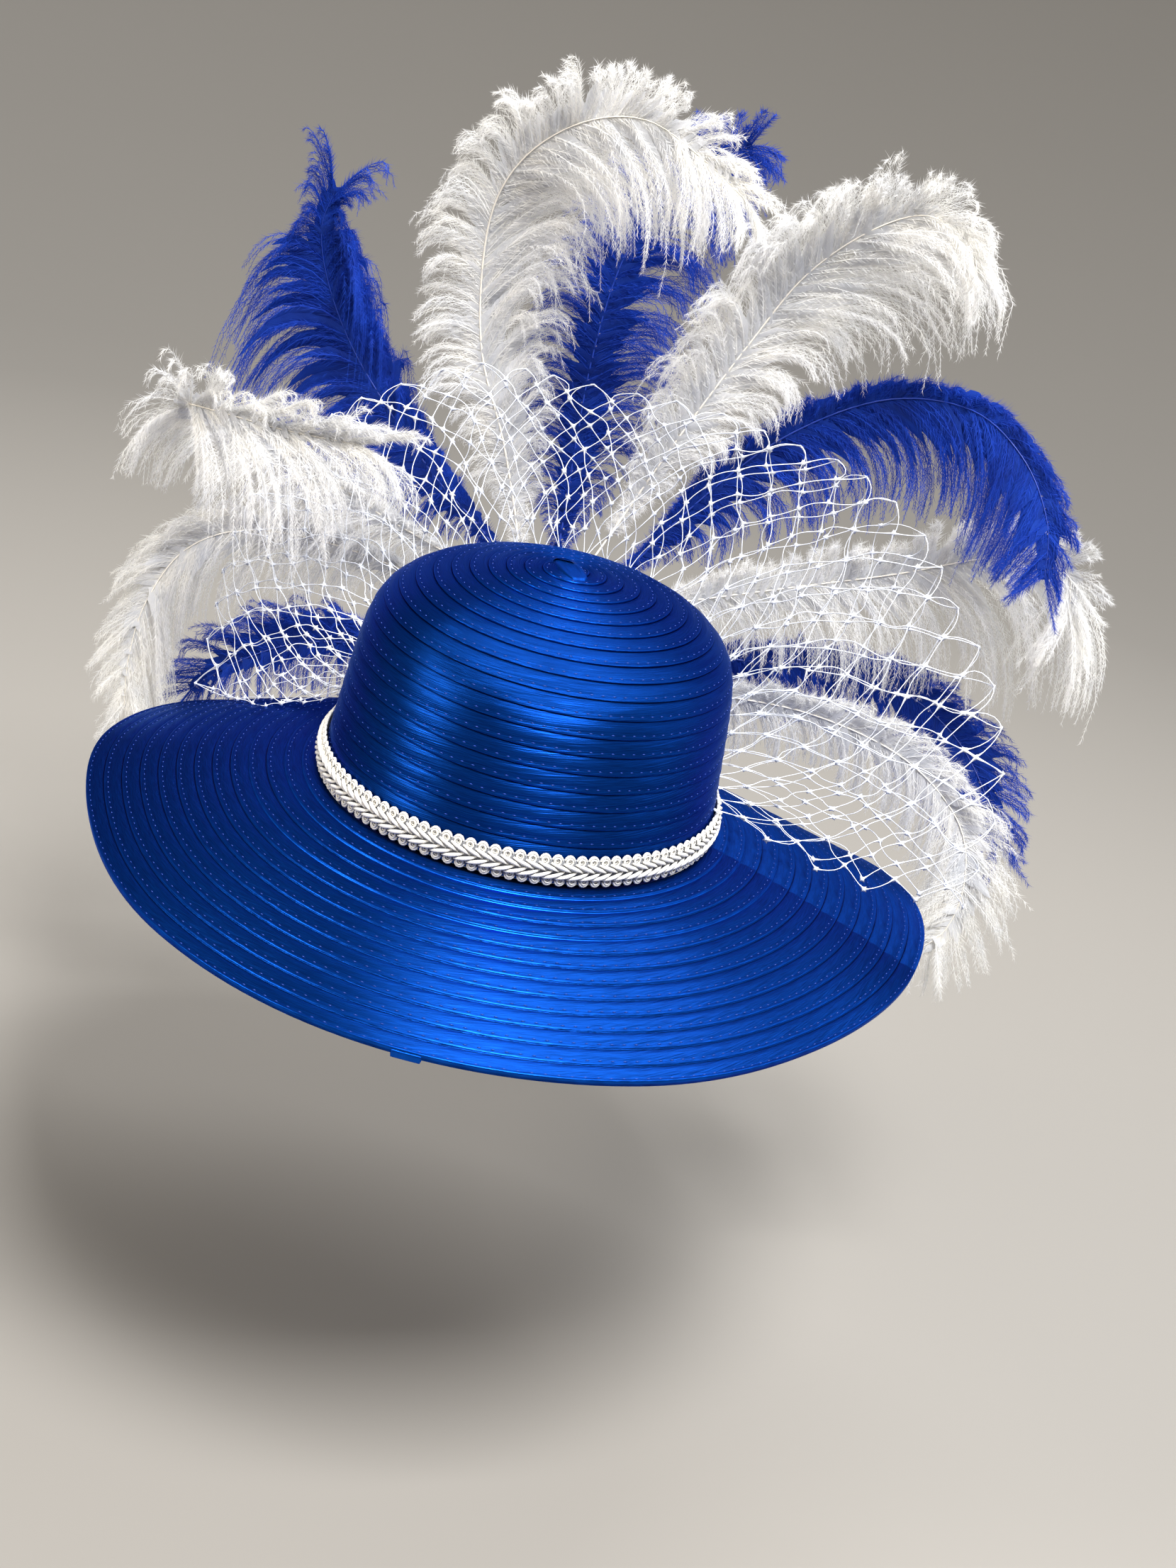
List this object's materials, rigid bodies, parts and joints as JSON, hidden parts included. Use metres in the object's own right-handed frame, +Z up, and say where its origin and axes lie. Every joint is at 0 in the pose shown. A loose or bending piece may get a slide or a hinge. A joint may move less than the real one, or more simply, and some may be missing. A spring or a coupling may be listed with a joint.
{
  "type": "church hat",
  "caption": "Oval satin braid hat with a domed crown, a wide sloping brim, a gimp band, a puff of coarse net and a fan of ostrich plumes behind the crown.",
  "frame": {"origin": "centre of the head opening, in the plane where the crown meets the brim", "axes": "+Z up the crown, -Y to the front, +X to the viewer's right when the hat is seen from the front"},
  "size_m": [0.4669, 0.3661, 0.3737],
  "materials": {
    "satin_braid": "royal blue polyester satin ribbon, sewn in overlapping rows, glossy",
    "gimp_trim": "ivory white rayon gimp braid, soft sheen",
    "net": "white open diamond hat net",
    "white_plume": "white ostrich plume, soft and matt",
    "blue_plume": "royal blue dyed ostrich plume, soft and matt"
  },
  "bodies": {
    "root": {"crown": "satin_braid", "brim": "satin_braid", "gimp_band": "gimp_trim", "net_veil": "net", "plume_white_far_left": "white_plume", "plume_white_left": "white_plume", "plume_white_top": "white_plume", "plume_white_upper_right": "white_plume", "plume_white_right": "white_plume", "plume_white_low_right": "white_plume", "plume_blue_low_left": "blue_plume", "plume_blue_upper_left": "blue_plume", "plume_blue_top": "blue_plume", "plume_blue_right": "blue_plume", "plume_blue_low_right": "blue_plume"}
  },
  "joints": []
}
